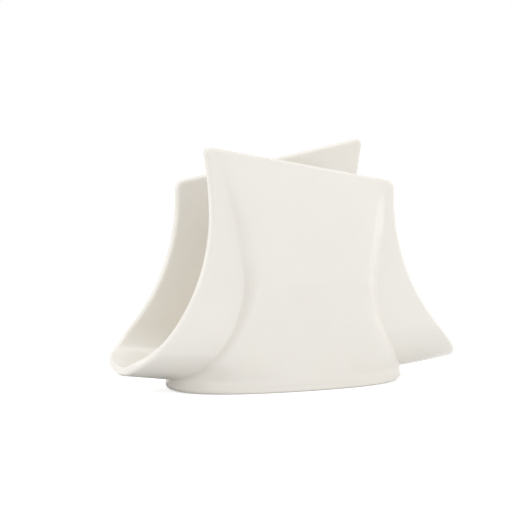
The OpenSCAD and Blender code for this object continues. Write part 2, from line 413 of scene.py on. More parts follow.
def extrude(obj: bpy.types.Object, layers: int, height: float) -> None:
    """Extrudes a whole sheet into a closed slab.

    Args:
        obj: the sheet.
        layers: number of equal steps.
        height: thickness of the slab, upwards.
    """
    select_only(obj)
    bpy.ops.object.mode_set(mode="EDIT")
    bpy.ops.mesh.select_all(action="SELECT")
    for _ in range(layers):
        bpy.ops.mesh.extrude_region_move(TRANSFORM_OT_translate={"value": (0.0, 0.0, height / layers)})
    bpy.ops.object.mode_set(mode="OBJECT")


def face_table(mesh: bpy.types.Mesh) -> tuple[np.ndarray, np.ndarray, np.ndarray]:
    """Faces as arrays.

    Args:
        mesh: the mesh to read.

    Returns:
        The vertex of each loop, the face of each loop and the number of loops of each face.
    """
    vertex = np.zeros(len(mesh.loops), np.int32)
    mesh.loops.foreach_get("vertex_index", vertex)
    total = np.zeros(len(mesh.polygons), np.int32)
    mesh.polygons.foreach_get("loop_total", total)
    return vertex, np.repeat(np.arange(len(total)), total), total


def face_mean(obj: bpy.types.Object, values: np.ndarray) -> np.ndarray:
    """Mean of the points' values over each face of a piece."""
    vertex, face, total = face_table(obj.data)
    return np.bincount(face, values[vertex].astype(float)) / total


def between_skins(obj: bpy.types.Object, w: np.ndarray) -> np.ndarray:
    """Which faces of an extruded sheet run from one skin to the other, where w goes from 0 to 1."""
    layer = face_mean(obj, w)
    return (layer > ON_EDGE) & (layer < 1 - ON_EDGE)


def finish_mesh(obj: bpy.types.Object) -> None:
    """Closes a laid mesh and gives its visible skin the true direction of its surface.

    Hidden faces stay flat. Points whose direction is noted take it, and the others take the mean of
    the visible faces round them.

    Args:
        obj: the piece, with HIDDEN noted on its faces and FACING on its points.
    """
    select_only(obj)
    weld = obj.modifiers.new("close", "WELD")
    weld.merge_threshold = WELD_GAP
    bpy.ops.object.modifier_apply(modifier=weld.name)
    bpy.ops.object.mode_set(mode="EDIT")
    bpy.ops.mesh.select_all(action="SELECT")
    bpy.ops.mesh.dissolve_degenerate(threshold=WELD_GAP / 2)
    bpy.ops.mesh.select_all(action="SELECT")
    bpy.ops.mesh.normals_make_consistent(inside=False)
    bpy.ops.object.mode_set(mode="OBJECT")
    bpy.ops.object.shade_smooth()

    mesh = obj.data
    co, facing = corners(obj), noted(obj, Note.FACING)
    hidden = noted(obj, Note.HIDDEN) == 1
    vertex, face, _ = face_table(mesh)
    flat = np.zeros(len(mesh.polygons) * 3)
    mesh.polygons.foreach_get("normal", flat)
    area = np.zeros(len(mesh.polygons))
    mesh.polygons.foreach_get("area", area)
    flat = flat.reshape(-1, 3)
    mean = np.zeros((len(co), 3))
    seen = ~hidden[face]
    np.add.at(mean, vertex[seen], (flat * area[:, None])[face[seen]])
    mean[np.abs(co[:, 1]) < NEAR_MIDDLE, 1] = 0.0
    known = np.linalg.norm(facing, axis=1) > LEAST_NOTED
    point = np.where(known[:, None], unit(facing), unit(mean))
    loops = np.where(seen[:, None], point[vertex], flat[face])
    other_side = np.sum(loops * flat[face], -1) < LEAST_COSINE
    loops = np.where(other_side[:, None], flat[face], loops)
    mesh.normals_split_custom_set(loops.astype(np.float32).tolist())
    for what in (Note.HIDDEN, Note.FACING):
        mesh.attributes.remove(mesh.attributes[what.value[0]])
    mesh.update()


def copy_turned(obj: bpy.types.Object, name: str) -> bpy.types.Object:
    """Copies a finished piece with its own mesh, turned half round about the vertical.

    Args:
        obj: the piece to copy.
        name: name of the copy.

    Returns:
        The copy.
    """
    select_only(obj)
    bpy.ops.object.duplicate(linked=False)
    twin = bpy.context.active_object
    twin.name = twin.data.name = name
    twin.data.transform(Matrix.Diagonal((-1.0, -1.0, 1.0, 1.0)))
    return twin


def place(obj: bpy.types.Object, node: str, slot: Slot, material: bpy.types.Material) -> None:
    """Puts a finished piece in the place of its CAD node.

    Args:
        obj: the piece.
        node: the CAD node that it stands for.
        slot: the record's slot that its finish belongs to; not used.
        material: its finish.
    """
    obj.data.materials.clear()
    obj.data.materials.append(material)
    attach(obj, BODY)
    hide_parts(node)
    co = corners(obj) / MM
    low, high = co.min(0), co.max(0)
    LOG.info(
        "%s stands for %s: %d faces, x %.1f..%.1f y %.1f..%.1f z %.1f..%.1f mm",
        obj.name, node, len(obj.data.polygons), low[0], high[0], low[1], high[1], low[2], high[2],
    )


@dataclass
class Walls:
    """The two flat leaning walls, each with its full-round rim."""

    tall_corner_r: float = 2.5
    low_corner_r: float = 4.0
    # Faces up a side, round a corner, from side to side and round the rim
    side_rows: int = 90
    corner_rows: int = 14
    columns: int = 24
    rim_layers: int = 20
    casting: Casting = CASTING

    def corner_z(self, side: float, z: float) -> float:
        """Height at which the side rim's centre line meets the top rim's.

        Args:
            side: -1 for the left side, 1 for the right one.
            z: height to start from.

        Returns:
            The height.
        """
        c = self.casting
        for _ in range(c.settle_rounds):
            z = float(c.top_mid(side * c.edge_mid(np.float64(z))))
        return z

    def chain(self, side: float) -> np.ndarray:
        """Centre line of the rim up one side and round its corner.

        Args:
            side: -1 for the left side, 1 for the right one.

        Returns:
            A row for each point: x, z and the direction out of the wall's edge.
        """
        c = self.casting
        tall = side < 0
        z_meet = self.corner_z(side, c.tall_corner_h if tall else c.low_corner_h)
        radius = (self.tall_corner_r if tall else self.low_corner_r) - c.rim_r
        x = float(c.edge_mid(np.float64(z_meet)))
        side_out = unit(np.array([side * (c.waist_x + c.edge_top_r - x), c.waist_h - z_meet]))
        top_out = unit(np.array([-c.top_slope, 1.0]))
        down = side * np.array([side_out[1], -side_out[0]])
        along = side * np.array([-top_out[1], top_out[0]])
        half = math.acos(float(down @ along)) / 2
        middle = np.array([side * x, z_meet]) + unit(down + along) * radius / math.sin(half)
        a0 = math.atan2(side_out[1], side_out[0])
        a1 = math.atan2(top_out[1], top_out[0])
        # The shorter way round from a0 to a1
        turn = (a1 - a0 + 3 * math.pi) % (2 * math.pi) - math.pi
        bend = a0 + turn * np.linspace(0, 1, self.corner_rows + 1)
        round_pts = stack(np.cos(bend), np.sin(bend), 0.0)[:, :2]
        corner = np.hstack([middle + radius * round_pts, round_pts])

        z = c.trough_h + (corner[0, 1] - c.trough_h) * np.arange(self.side_rows) / self.side_rows
        x = c.edge_mid(z)
        radii = np.where(z >= c.waist_h, c.edge_top_r, c.edge_r)
        out = unit(stack(side * (c.waist_x + radii - x), c.waist_h - z, 0.0))[:, :2]
        return np.vstack([np.column_stack([side * x, z, out]), corner])

    def model(self) -> bpy.types.Object:
        """Models the front wall as a grid, extruded in as many layers as its rim has and laid out.

        Returns:
            The front wall's skin.
        """
        c = self.casting
        rows = self.side_rows + self.corner_rows
        obj = add_sheet("front_wall_skin", self.columns, rows)
        extrude(obj, self.rim_layers, 1.0)
        uvw = corners(obj)
        u, w = uvw[:, 0], uvw[:, 2]
        row = np.rint(uvw[:, 1] * rows).astype(int)
        left, right = self.chain(-1.0), self.chain(1.0)
        on_left, on_right, on_top = u < ON_EDGE, u > 1 - ON_EDGE, row == rows
        path = left[row] * (1 - u[:, None]) + right[row] * u[:, None]
        out = np.where(on_left[:, None], left[row, 2:], right[row, 2:])
        out = np.where(on_top[:, None], left[rows, 2:], out)
        edge = (on_left | on_right | on_top).astype(float)

        stands, towards = c.rim_section(w)
        in_plane = stack(out[:, 0], c.lean * out[:, 1], out[:, 1])
        middle = stack(path[:, 0], c.rim_r - c.wall_y(path[:, 1]), path[:, 1])
        offset = in_plane * (edge * stands)[:, None] + stack(0.0, -towards, 0.0)
        lay(obj, middle + c.rim_r * offset)

        facing = np.where((w < 0.5)[:, None], c.wall_normal(-1.0), -c.wall_normal(-1.0))
        facing[(w > ON_EDGE) & (w < 1 - ON_EDGE)] = 0.0
        note(obj, Note.FACING, facing)
        note(obj, Note.HIDDEN, face_mean(obj, row == 0) == 1)
        finish_mesh(obj)
        return obj

    def build(self, material: bpy.types.Material) -> None:
        """Models the front wall and puts it and its turned copy in place.

        Args:
            material: their finish.
        """
        front = self.model()
        back = copy_turned(front, "back_wall_skin")
        place(front, "front_wall", Slot.GLAZE, material)
        place(back, "back_wall", Slot.GLAZE, material)


@dataclass
class Channel:
    """The rounded trough between the walls, and the lip at each of its ends."""

    # Faces round the trough, along it, along a lip and round the rim
    around: int = 144
    trough_rows: int = 40
    lip_rows: int = 24
    rim_layers: int = 20
    # Radians over which the direction of the lip's rim is taken
    path_step: float = 1e-3
    casting: Casting = CASTING

    def angle(self, u: np.ndarray) -> np.ndarray:
        """Angle of the trough at a share u of the way round from the front to the back."""
        lean_a = self.casting.lean_a
        return -lean_a + u * (math.pi + 2 * lean_a)

    def lip_path(self, a: np.ndarray) -> np.ndarray:
        """Centre line of the right lip's rim.

        Args:
            a: angles of the trough.

        Returns:
            Its point at each angle.
        """
        c = self.casting
        x = np.full_like(a, c.tip_x)
        for _ in range(c.settle_rounds):
            x = c.edge_mid(c.trough_pt(x, a, c.rim_r)[..., 2])
        return c.trough_pt(x, a, np.full_like(a, c.rim_r))

    def note_skins(self, obj: bpy.types.Object, x: np.ndarray, a: np.ndarray, w: np.ndarray) -> None:
        """Notes the direction of the outer and inner skins on a laid piece.

        Args:
            obj: the piece.
            x: place of each point along the channel.
            a: its angle.
            w: its share of the way from the outer skin to the inner one.
        """
        c = self.casting
        outer = c.trough_normal(x, a, np.zeros_like(x))
        inner = -c.trough_normal(x, a, np.full_like(x, c.wall_t))
        facing = np.where((w < 0.5)[:, None], outer, inner)
        facing[(w > ON_EDGE) & (w < 1 - ON_EDGE)] = 0.0
        note(obj, Note.FACING, facing)

    def model_trough(self) -> bpy.types.Object:
        """Models the trough as a grid, extruded once and bent round.

        Returns:
            The trough's skin.
        """
        c = self.casting
        obj = add_sheet("trough_skin", self.around, self.trough_rows)
        extrude(obj, 1, 1.0)
        uvw = corners(obj)
        a, w = self.angle(uvw[:, 0]), uvw[:, 2]
        x = c.lip_start * np.sin((uvw[:, 1] - 0.5) * math.pi)
        lay(obj, c.trough_pt(x, a, w * c.wall_t))
        self.note_skins(obj, x, a, w)
        note(obj, Note.HIDDEN, between_skins(obj, w))
        finish_mesh(obj)
        return obj

    def model_lip(self) -> bpy.types.Object:
        """Models the right lip as a grid, extruded in the rim's layers, bent round and flared.

        Returns:
            The right lip's skin.
        """
        c = self.casting
        obj = add_sheet("right_lip_skin", self.around, self.lip_rows)
        extrude(obj, self.rim_layers, 1.0)
        uvw = corners(obj)
        a, v, w = self.angle(uvw[:, 0]), uvw[:, 1], uvw[:, 2]
        path = self.lip_path(a)
        x = c.lip_start + v * (path[:, 0] - c.lip_start)
        stands, towards = c.rim_section(w)
        on_rim = v > 1 - ON_EDGE
        along = unit(self.lip_path(a + self.path_step) - self.lip_path(a - self.path_step))
        skin = c.trough_normal(path[:, 0], a, np.full_like(a, c.rim_r))
        out = unit(np.cross(along, skin))
        out *= np.sign(out[:, :1])
        depth = c.rim_r * (1 - towards)
        lay(obj, c.trough_pt(x, a, depth) + c.rim_r * out * (stands * on_rim)[:, None])
        self.note_skins(obj, x, a, w)
        note(obj, Note.HIDDEN, between_skins(obj, w) & (face_mean(obj, on_rim) < 1))
        finish_mesh(obj)
        return obj

    def build(self, material: bpy.types.Material) -> None:
        """Models the trough and the right lip and puts them and the left lip in place.

        Args:
            material: their finish.
        """
        place(self.model_trough(), "trough", Slot.GLAZE, material)
        right = self.model_lip()
        left = copy_turned(right, "left_lip_skin")
        place(right, "right_lip", Slot.GLAZE, material)
        place(left, "left_lip", Slot.GLAZE, material)


@dataclass
class Pedestal:
    """The oval pedestal: two belly halves, filleted to the channel, and the foot ring."""

    # Squareness of the foot's oval, and of the shoulders, which are full at a share of the height
    foot_power: float = 2.26
    belly_swell: float = 3.3
    shoulder_power: float = 12.0
    shoulder_share: float = 0.25
    # Length between the creases at their waist, and the powers with which they spread from there
    crease_l: float = 58.3
    crease_low_share: float = 2.5
    crease_top_share: float = 1.15
    # How far inside the walls' waist the creases meet the top edge
    crease_inset: float = 4.0
    # How far the belly's middle drifts, and the shares of the height where that grows and fades
    crease_drift: float = 2.0
    drift_rise: tuple[float, float] = (0.2, 0.45)
    drift_fall: tuple[float, float] = (0.7, 0.95)
    skirt_t: float = 4.5
    foot_h: float = 3.0
    # Rounding of the foot's lower edge, larger at its ends, and the power with which it grows
    foot_round: float = 1.0
    foot_end_round: float = 2.8
    end_share: float = 6.0
    # Share of the height over which the upright foot becomes the belly, and the swell's soft start
    foot_blend: float = 0.15
    swell_soft: float = 8.0
    # Reach of the fillets low down, higher up and at the top edge, and the heights between
    fillet_low: float = 0.5
    fillet_high: float = 1.2
    fillet_rise: tuple[float, float] = (12.0, 60.0)
    fillet_top: float = 0.9
    fillet_fall: tuple[float, float] = (70.0, 98.0)
    # Levels between which the fillets' direction turns from square to the crease to level
    fillet_turn: tuple[float, float] = (0.35, 0.9)
    # Handles of the fillets' curve, as a share of the way to the crease
    handle: float = 0.62
    # Distance, heights and shares of a fillet's width over which the painted shade along the creases
    # fades out
    shade_spread: float = 2.2
    shade_rise: tuple[float, float] = (30.0, 58.0)
    shade_fade: tuple[float, float] = (0.6, 1.0)
    # How far the belly's hidden back lies inside the channel's wall
    sink: float = 0.3
    slope_step: float = 1e-3
    skin_rounds: int = 8
    # Faces of the sheets: rows below and above the flat walls' start, rows on the foot, columns
    low_rows: int = 48
    high_rows: int = 60
    foot_rows: int = 2
    columns: int = 96
    fillet_columns: int = 14
    # Faces round the foot ring and round each rounding of its section
    ring_turns: int = 288
    ring_round: int = 8
    # Tube of the torus as it is added, for a ring of radius 1
    tube_r: float = 0.25
    casting: Casting = CASTING

    @property
    def crease_z(self) -> float:
        """Height at which the lip's underside meets the end of the foot."""
        return float(self.casting.underside_z(np.float64(self.casting.foot_x)))

    @property
    def top_z(self) -> float:
        """Height of the belly at its middle."""
        return float(self.casting.top_mid(np.float64(0.0)))

    @property
    def flat_share(self) -> float:
        """Share of the belly's height at which the walls become flat."""
        return (self.casting.trough_h - self.crease_z) / (self.top_z - self.crease_z)

    def share(self, x: np.ndarray, z: np.ndarray, soft: float = 0.0) -> np.ndarray:
        """Share of the belly's height, from the creases' lower end to the sloping top edge.

        Args:
            x: places along the holder.
            z: heights.
            soft: distance over which the start is rounded.

        Returns:
            The shares, 0 on the foot and 1 at the top edge.
        """
        c = self.casting
        over = z - self.crease_z
        low = (soft_ramp(over, soft) if soft else np.maximum(0.0, over)) / (self.top_z - self.crease_z)
        s = (z - c.trough_h) / (c.top_mid(x) - c.trough_h)
        return np.where(z <= c.trough_h, low, self.flat_share + s * (1 - self.flat_share))

    def reach(self, t: np.ndarray) -> np.ndarray:
        """Half length of the belly between its creases, which is least half way up.

        Args:
            t: shares of the belly's height.

        Returns:
            The half length at each share.
        """
        half, top = self.crease_l / 2, self.casting.waist_x - self.crease_inset
        below, above = np.maximum(0.0, 1 - 2 * t), np.maximum(0.0, 2 * t - 1)
        low = half + (self.casting.foot_x - half) * below**self.crease_low_share
        return np.where(t < 0.5, low, half + (top - half) * above**self.crease_top_share)

    def drift(self, t: np.ndarray) -> np.ndarray:
        """How far the belly's middle lies towards the wall's low corner at a share t of its height."""
        return self.crease_drift * ease(*self.drift_rise, t) * (1 - ease(*self.drift_fall, t))

    def squareness(self, x: np.ndarray, z: np.ndarray) -> np.ndarray:
        """Power of the belly's outline: the foot's oval below, squarer shoulders above."""
        grown = ease(0.0, self.shoulder_share, self.share(x, z))
        return self.foot_power + (self.shoulder_power - self.foot_power) * grown

    def oval(self, x: np.ndarray, z: np.ndarray) -> tuple[np.ndarray, np.ndarray, np.ndarray]:
        """The level outline through each point.

        Args:
            x: places along the holder.
            z: heights.

        Returns:
            How far along the outline x is, as a share of its half length, the outline's half width
            at the middle, and how much of that is lost by the creases, from 0 for none to 1 for all.
        """
        c = self.casting
        t, soft_t = self.share(x, z), self.share(x, z, self.swell_soft)
        length = self.reach(t)
        # The swell is a parabola, full half way up
        width = c.wall_y(z) + self.belly_swell * 4 * soft_t * (1 - soft_t)
        cut = 1 - (c.channel_y(length, z) / width) ** self.foot_power
        upright = (length / c.foot_x) ** self.foot_power
        cut = upright + (cut - upright) * ease(0.0, self.foot_blend, t)
        return np.abs(x - self.drift(t)) / length, width, cut

    def field(self, p: np.ndarray) -> np.ndarray:
        """Which side of the belly's skin points are on.

        Args:
            p: the points.

        Returns:
            Less than 0 inside the belly, 0 on its skin and more outside.
        """
        along, width, cut = self.oval(p[..., 0], p[..., 2])
        side = cut * along ** self.squareness(p[..., 0], p[..., 2])
        return (np.abs(p[..., 1]) / width) ** self.foot_power + side - 1

    def belly_slope(self, p: np.ndarray) -> np.ndarray:
        """Gradient of the field, which points straight out of the belly's skin.

        Args:
            p: the points.

        Returns:
            The gradient at each point.
        """
        moves = np.eye(3) * self.slope_step
        rises = [self.field(p + move) - self.field(p - move) for move in moves]
        return np.stack([rise / (2 * self.slope_step) for rise in rises], -1)

    def skin_y(self, x: np.ndarray, z: np.ndarray) -> np.ndarray:
        """Half width of the belly's skin.

        Args:
            x: places along the holder.
            z: heights.

        Returns:
            The half width at each place, 0 past the outline's ends.
        """
        along, width, cut = self.oval(x, z)
        side = cut * along ** self.squareness(x, z)
        return width * np.maximum(0.0, 1 - side) ** (1 / self.foot_power)

    def settle(self, p: np.ndarray) -> np.ndarray:
        """Moves points that are near the belly's skin onto it.

        Args:
            p: the points.

        Returns:
            The moved points.
        """
        for _ in range(self.skin_rounds):
            slope = self.belly_slope(p)
            p = p - slope * (self.field(p) / np.sum(slope * slope, -1))[..., None]
        return p

    def level(self, x: np.ndarray, z: np.ndarray) -> np.ndarray:
        """Which row a point is on.

        Args:
            x: places along the holder.
            z: heights.

        Returns:
            The rows: below 0 under the flat walls, and 1 at the sloping top edge.
        """
        c = self.casting
        over = z - c.trough_h
        return np.where(over < 0, over / c.trough_h, over / (c.top_mid(x) - c.trough_h))

    def level_z(self, x: np.ndarray, level: np.ndarray) -> np.ndarray:
        """Height of a row at x."""
        c = self.casting
        return c.trough_h + level * np.where(level < 0, c.trough_h, c.top_mid(x) - c.trough_h)

    def crease(self, side: float) -> np.ndarray:
        """Line in which the belly would meet the channel without a fillet, from the foot up.

        Args:
            side: -1 for the left crease, 1 for the right one.

        Returns:
            Its points, low_rows + high_rows + 1 of them.
        """
        c = self.casting
        a = np.linspace(math.pi / 2, -c.lean_a, self.low_rows + 1)
        near, far = np.zeros_like(a), np.full_like(a, 2 * c.foot_x)
        for _ in range(c.settle_rounds):
            x = (near + far) / 2
            inside = self.field(c.trough_pt(side * x, a, 0.0)) < 0
            near, far = np.where(inside, x, near), np.where(inside, far, x)
        low = c.trough_pt(side * near, a, 0.0)
        s = np.linspace(0, 1, self.high_rows + 1)[1:]
        t = self.flat_share + s * (1 - self.flat_share)
        x = side * self.reach(t) + self.drift(t)
        z = self.level_z(x, s)
        return np.vstack([low, stack(x, -c.wall_y(z), z)])

    def fillet(self, side: float) -> np.ndarray:
        """Concave fillet along one crease, from the belly's skin to the channel's.

        Args:
            side: -1 for the left crease, 1 for the right one.

        Returns:
            Its points as rows along the crease and columns across it, the first on the belly.
        """
        c = self.casting
        line = self.crease(side)
        height = line[:, 2]
        size = self.fillet_low + (self.fillet_high - self.fillet_low) * ease(*self.fillet_rise, height)
        size += (self.fillet_top - self.fillet_high) * ease(*self.fillet_fall, height)
        tangent = unit(np.gradient(line, axis=0))
        # Both creases of an end start on its middle line, square to it
        tangent[0] = (0.0, -1.0, 0.0)
        normal = unit(self.belly_slope(line))
        square = np.cross(normal, tangent)
        square *= np.sign(np.sum(square * np.array([-side, 0.0, -1.0]), -1, keepdims=True))
        s = self.level(line[:, 0], line[:, 2])
        fall = c.top_slope * np.clip(s, 0, 1)
        level_way = stack(-side, 0.0, -side * fall)
        level_way = unit(level_way - normal * np.sum(level_way * normal, -1, keepdims=True))
        share = ease(*self.fillet_turn, s)[:, None]
        way = unit(square * (1 - share) + level_way * share)
        on_belly = self.settle(line + way * size[:, None])
        # The last point lies on the sloping top edge
        top = on_belly[-1]
        top[2] = c.top_mid(top[0])
        top[1] = -self.skin_y(top[0], top[2])

        x = line[:, 0] + side * size
        low = c.trough_pt(x, c.trough_angle(line[:, 0], line[:, 2]), 0.0)
        z = self.level_z(x, s)
        on_channel = np.where((line[:, 2] >= c.trough_h)[:, None], stack(x, -c.wall_y(z), z), low)

        belly_n, channel_n = unit(self.belly_slope(on_belly)), c.channel_normal(on_channel)
        to_line = line - on_belly
        from_line = on_channel - line
        to_line -= belly_n * np.sum(to_line * belly_n, -1, keepdims=True)
        from_line -= channel_n * np.sum(from_line * channel_n, -1, keepdims=True)
        # A Bezier curve that leaves both skins along their own slopes
        b = np.linspace(0, 1, self.fillet_columns + 1)[None, :, None]
        handles = [on_belly + self.handle * to_line, on_channel - self.handle * from_line]
        weights = [(1 - b) ** 3, 3 * b * (1 - b) ** 2, 3 * b * b * (1 - b), b**3]
        points = [on_belly, *handles, on_channel]
        return sum(weight * point[:, None, :] for weight, point in zip(weights, points))

    def belly_grid(self, left: np.ndarray, right: np.ndarray) -> np.ndarray:
        """The belly's skin between its two fillets.

        Args:
            left: edge of the left fillet on the belly.
            right: edge of the right one.

        Returns:
            Its points as rows from the foot up and columns from left to right.
        """
        c, n = self.casting, self.foot_power
        foot_z = np.linspace(self.foot_h, left[0, 2], self.foot_rows + 1)[:-1]
        ends = [
            np.vstack([stack(side * c.foot_x, 0.0, foot_z), edge])
            for side, edge in ((-1.0, left), (1.0, right))
        ]
        levels = [self.level(e[:, 0], e[:, 2]) for e in ends]
        shares = [self.share(e[:, 0], e[:, 2]) for e in ends]
        lengths, drifts = [self.reach(t) for t in shares], [self.drift(t) for t in shares]
        turns = [
            np.arcsin(np.clip(np.abs(e[:, 0] - drift) / length, 0, 1) ** (n / 2))
            for e, length, drift in zip(ends, lengths, drifts)
        ]
        u = np.linspace(0, 1, self.columns + 1)[None, :]
        a = -turns[0][:, None] * (1 - u) + turns[1][:, None] * u
        length = lengths[0][:, None] * (1 - u) + lengths[1][:, None] * u
        drift = drifts[0][:, None] * (1 - u) + drifts[1][:, None] * u
        x = drift + np.sign(a) * length * np.abs(np.sin(a)) ** (2 / n)
        across = (x - ends[0][:, :1]) / (ends[1][:, :1] - ends[0][:, :1])
        z = self.level_z(x, levels[0][:, None] * (1 - across) + levels[1][:, None] * across)
        grid = stack(x, -self.skin_y(x, z), z)
        grid[:, 0], grid[:, -1] = ends[0], ends[1]
        return grid

    def painted_shade(self, grid: np.ndarray, away: np.ndarray) -> np.ndarray:
        """How much painted shade darkens the glaze, at a distance away from a crease's fillet: most low
        down.
        """
        return np.exp(-((away / self.shade_spread) ** 2)) * (1 - ease(*self.shade_rise, grid[..., 2]))

    def lay_grid(
        self, name: str, grid: np.ndarray, facing: np.ndarray, crease_shade: np.ndarray
    ) -> bpy.types.Object:
        """Adds a sheet and lays it on points.

        Args:
            name: name of the sheet.
            grid: its points in rows and columns.
            facing: the direction of its surface at each, or zeros where that isn't noted.
            crease_shade: how much painted shade lies at each.

        Returns:
            The sheet.
        """
        rows, columns = grid.shape[0] - 1, grid.shape[1] - 1
        obj = add_sheet(name, columns, rows)
        uv = corners(obj)
        i = np.rint(uv[:, 1] * rows).astype(int)
        j = np.rint(uv[:, 0] * columns).astype(int)
        lay(obj, grid[i, j])
        note(obj, Note.FACING, facing[i, j])
        note(obj, Note.POOL, crease_shade[i, j])
        return obj

    def seat(self, p: np.ndarray) -> np.ndarray:
        """Places behind the belly's skin: just inside the channel's wall, or on the skirt's inner side.

        Args:
            p: points of the skin.

        Returns:
            The point behind each.
        """
        c = self.casting
        x, z = p[:, 0], p[:, 2]
        a, b = c.foot_x - self.skirt_t, c.foot_w / 2 - self.skirt_t
        share = np.clip(np.abs(x) / a, 0, 1)
        skirt = b * (1 - share**self.foot_power) ** (1 / self.foot_power)
        behind = np.maximum(c.channel_y(x, z) - self.sink, 0.0)
        y = np.where(z >= c.trough_h, behind, np.maximum(behind, skirt))
        return stack(x, -np.minimum(y, -p[:, 1]), z)

    def model_belly(self) -> bpy.types.Object:
        """Models the front belly: three sheets joined along the fillets' edges, then extruded inwards.

        Returns:
            The front belly's skin.
        """
        c = self.casting
        fillets = {side: self.fillet(side) for side in (-1.0, 1.0)}
        grid = self.belly_grid(fillets[-1.0][:, 0], fillets[1.0][:, 0])
        # Painted shade along the creases: darkest at the fillets and low down, fading out across each
        # fillet
        away = np.minimum(grid[..., 0] - grid[:, :1, 0], grid[:, -1:, 0] - grid[..., 0])
        crease_shade = self.painted_shade(grid, away)
        parts = [self.lay_grid("front_belly_skin", grid, unit(self.belly_slope(grid)), crease_shade)]
        shade_fade_out = 1 - ease(*self.shade_fade, np.linspace(0, 1, self.fillet_columns + 1))
        for side, strip in fillets.items():
            facing = np.zeros_like(strip)
            facing[:, 0] = unit(self.belly_slope(strip[:, 0]))
            facing[:, -1] = c.channel_normal(strip[:, -1])
            crease_shade = self.painted_shade(strip, np.zeros(strip.shape[:2])) * shade_fade_out
            parts.append(self.lay_grid(f"fillet_{side:.0f}", strip, facing, crease_shade))
        select_only(parts[0])
        for part in parts[1:]:
            part.select_set(True)
        bpy.ops.object.join()
        obj = parts[0]
        bpy.ops.object.mode_set(mode="EDIT")
        bpy.ops.mesh.select_all(action="SELECT")
        bpy.ops.mesh.remove_doubles(threshold=WELD_GAP)
        bpy.ops.mesh.normals_make_consistent(inside=False)
        bpy.ops.object.mode_set(mode="OBJECT")

        # Extruding leaves the new points selected
        extrude(obj, 1, 0.0)
        moved = np.zeros(len(obj.data.vertices), bool)
        obj.data.vertices.foreach_get("select", moved)
        p = corners(obj) / MM
        p[moved] = self.seat(p[moved])
        lay(obj, p)
        facing = noted(obj, Note.FACING)
        facing[moved] = 0.0
        note(obj, Note.FACING, facing)
        inner = face_mean(obj, moved)
        note(obj, Note.HIDDEN, (inner > 0) & (inner < 1))
        finish_mesh(obj)
        return obj

    def ring_section(self, sine: np.ndarray) -> tuple[np.ndarray, np.ndarray]:
        """Section of the foot ring as it is at several places round it.

        Args:
            sine: how far each place is towards the ends, from -1 to 1.

        Returns:
            Inset from the foot's outline and height of each point of the section, a row for each place,
            from the top of the outer side down, under the ring and up the inner side.
        """
        quarter = np.linspace(0, math.pi / 2, self.ring_round + 1)[None, :]
        q, top = self.foot_round, self.foot_h
        r = (q + (self.foot_end_round - q) * np.abs(sine) ** self.end_share)[:, None]
        ones = np.ones_like(r)
        outer_in, outer_z = r * (1 - np.cos(quarter)), r * (1 - np.sin(quarter))
        inner_in, inner_z = self.skirt_t - q * (1 - np.sin(quarter)), q * (1 - np.cos(quarter))
        inset = np.hstack([0 * ones, 0 * ones, outer_in, inner_in * ones, self.skirt_t * ones])
        height = np.hstack([top * ones, (top + r) / 2, outer_z, inner_z * ones, top * ones])
        return inset, height

    def model_ring(self) -> bpy.types.Object:
        """Models the foot ring as a torus, laid on the oval with its own section.

        Returns:
            The foot ring's skin.
        """
        c, n = self.casting, self.foot_power
        count = self.ring_section(np.zeros(1))[0].shape[1]
        bpy.ops.object.select_all(action="DESELECT")
        bpy.ops.mesh.primitive_torus_add(
            major_segments=self.ring_turns,
            minor_segments=count,
            major_radius=1.0,
            minor_radius=self.tube_r,
        )
        obj = bpy.context.active_object
        obj.name = obj.data.name = "foot_ring_skin"
        p = corners(obj)
        turn = np.arctan2(p[:, 1], p[:, 0])
        small = np.arctan2(p[:, 2], np.hypot(p[:, 0], p[:, 1]) - 1.0) % (2 * math.pi)
        # The torus runs up its outer side, the section down it
        k = -np.rint(small / (2 * math.pi) * count).astype(int) % count
        inset, height = self.ring_section(np.cos(turn))
        every = np.arange(len(k))
        inset, z = inset[every, k], height[every, k]
        x = np.sign(np.cos(turn)) * np.abs(np.cos(turn)) ** (2 / n) * (c.foot_x - inset)
        y = np.sign(np.sin(turn)) * np.abs(np.sin(turn)) ** (2 / n) * (c.wall_y(z) - inset)
        lay(obj, stack(x, y, z))
        # The ring's top outer edge faces as the belly's skin above it, whose field is for the front
        slope = unit(self.belly_slope(stack(x, -np.abs(y), z)))
        slope[y > 0, 1] *= -1.0
        note(obj, Note.FACING, np.where((k == 0)[:, None], slope, 0.0))
        note(obj, Note.HIDDEN, face_mean(obj, z > self.foot_h - ON_EDGE) == 1)
        finish_mesh(obj)
        return obj

    def build(self, glaze: bpy.types.Material, foot: bpy.types.Material) -> None:
        """Models the front belly and the foot ring and puts them and the back belly in place.

        Args:
            glaze: finish of the belly.
            foot: finish of the foot ring.
        """
        front = self.model_belly()
        back = copy_turned(front, "back_belly_skin")
        place(front, "front_belly", Slot.GLAZE, glaze)
        place(back, "back_belly", Slot.GLAZE, glaze)
        place(self.model_ring(), "foot_ring", Slot.FOOT, foot)


